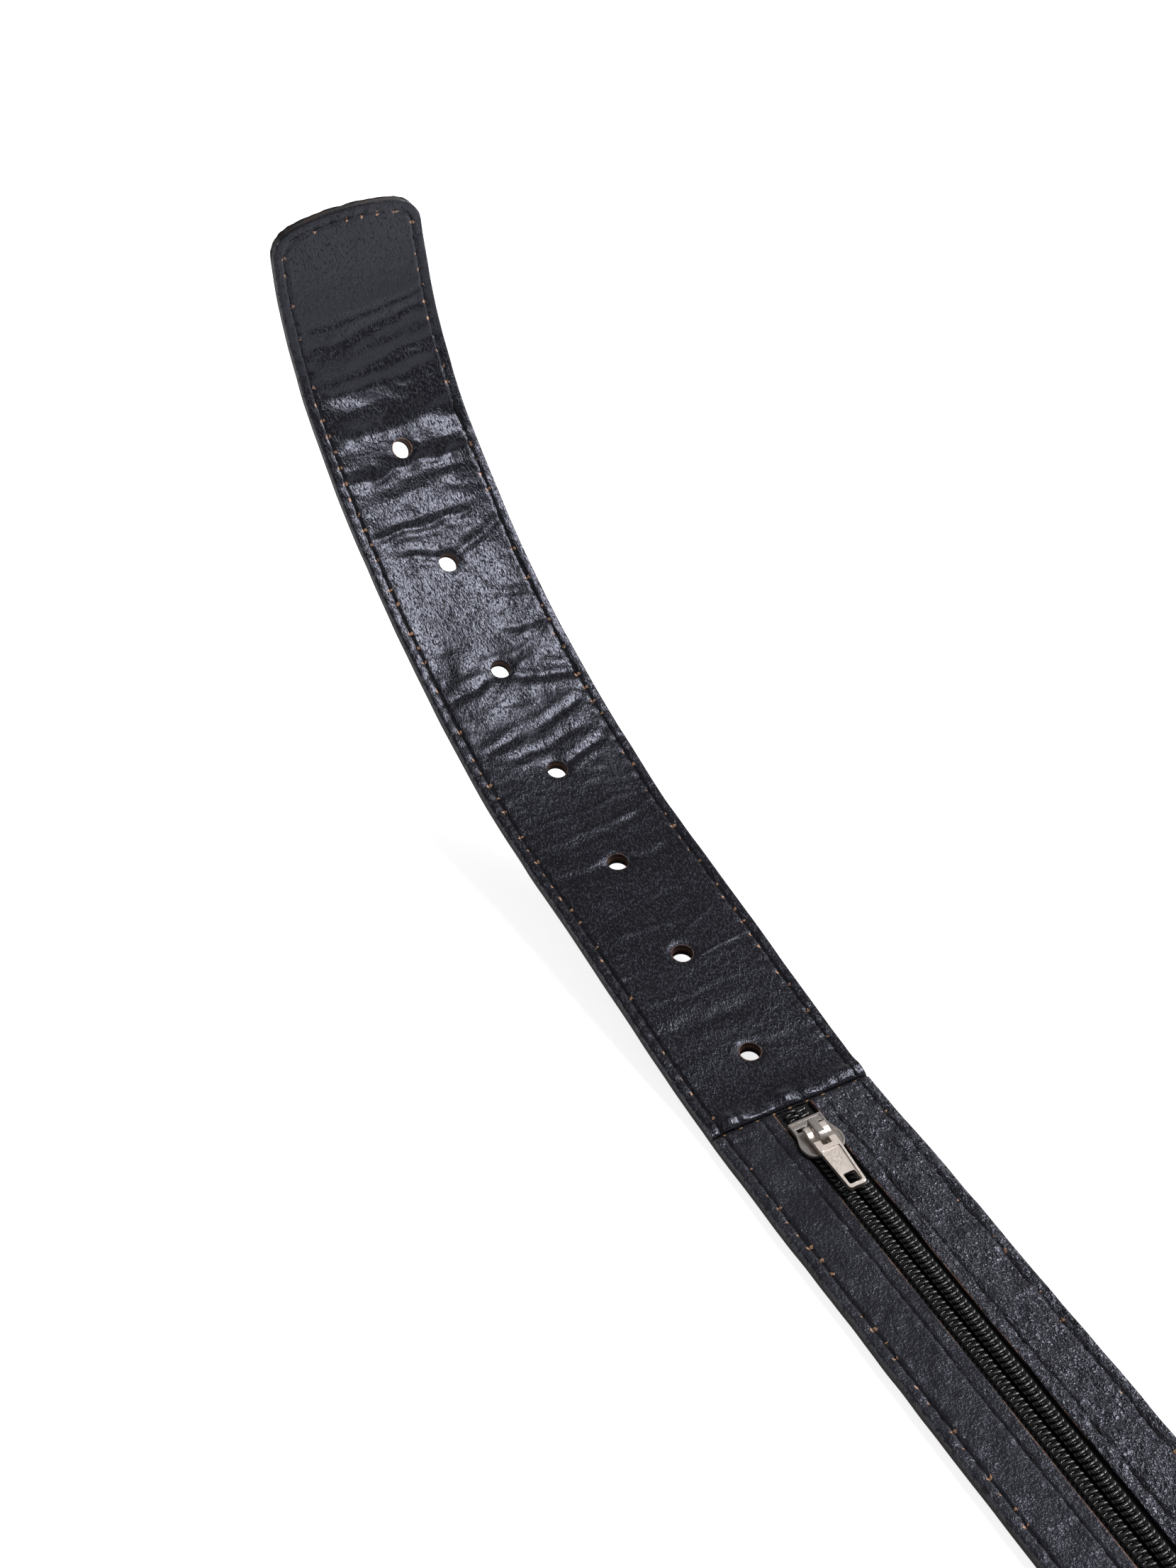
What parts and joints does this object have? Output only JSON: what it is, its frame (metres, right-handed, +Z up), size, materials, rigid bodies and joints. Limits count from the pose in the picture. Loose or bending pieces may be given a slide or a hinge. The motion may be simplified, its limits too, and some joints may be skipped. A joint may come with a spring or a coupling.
{
  "type": "money belt",
  "caption": "Leather belt with a zip pocket hidden on its inner face, a punched tongue that curls up, a hinged frame buckle with its prong, and a keeper loop.",
  "frame": {"origin": "on the belt's underside, on its centre line, halfway along the zip pocket", "axes": "+X along the belt from the tongue's tip to the buckle, +Y across the belt, +Z up, out of the lining side"},
  "size_m": [1.0805, 0.0508, 0.1199],
  "materials": {
    "outer_leather": "black grain leather, painted edges, soft gloss",
    "lining_leather": "black pebbled leather, worn to a bluish grey sheen on its creases",
    "filler_board": "raw tan leather board",
    "zip_nylon": "black nylon filament, slight gloss",
    "zip_tape": "black woven tape",
    "nickel": "worn nickel plate, mottled",
    "thread": "black twisted polyester thread"
  },
  "bodies": {
    "strap": {"outer_strap": "outer_leather", "filler": "filler_board", "tongue_lining": "lining_leather", "buckle_end_lining": "lining_leather", "pocket_flap_left": "lining_leather", "pocket_flap_right": "lining_leather", "zip_tape_left": "zip_tape", "zip_tape_right": "zip_tape", "zip_coil_left": "zip_nylon", "zip_coil_right": "zip_nylon", "zip_thread_left": "thread", "zip_thread_right": "thread", "zip_bobbin_thread_left": "thread", "zip_bobbin_thread_right": "thread", "edge_thread_lining": "thread", "edge_thread_face": "thread", "seam_thread_tongue": "thread", "seam_thread_buckle": "thread", "keeper_loop": "outer_leather", "binding_post_1": "nickel", "binding_post_2": "nickel", "binding_screw_1": "nickel", "binding_screw_2": "nickel"},
    "slider": {"slider_body": "nickel"},
    "pull": {"slider_pull": "nickel"},
    "buckle": {"buckle_frame": "nickel", "buckle_bar": "nickel"},
    "prong": {"buckle_prong": "nickel"}
  },
  "joints": [
    {"name": "slider_slide", "type": "slide", "parent": "strap", "child": "slider", "axis": [1, 0, 0], "range_m": [0, 0.595]},
    {"name": "pull_hinge", "type": "hinge", "parent": "slider", "child": "pull", "pos_m": [-0.2972, 0, 0.00589], "axis": [0, -1, 0], "range_deg": [0, 165]},
    {"name": "buckle_hinge", "type": "hinge", "parent": "strap", "child": "buckle", "pos_m": [0.5365, 0, 0.0093], "axis": [0, -1, 0], "range_deg": [-25, 120]},
    {"name": "prong_hinge", "type": "hinge", "parent": "buckle", "child": "prong", "pos_m": [0.5365, 0, 0.0093], "axis": [0, 1, 0], "range_deg": [0, 75]}
  ]
}
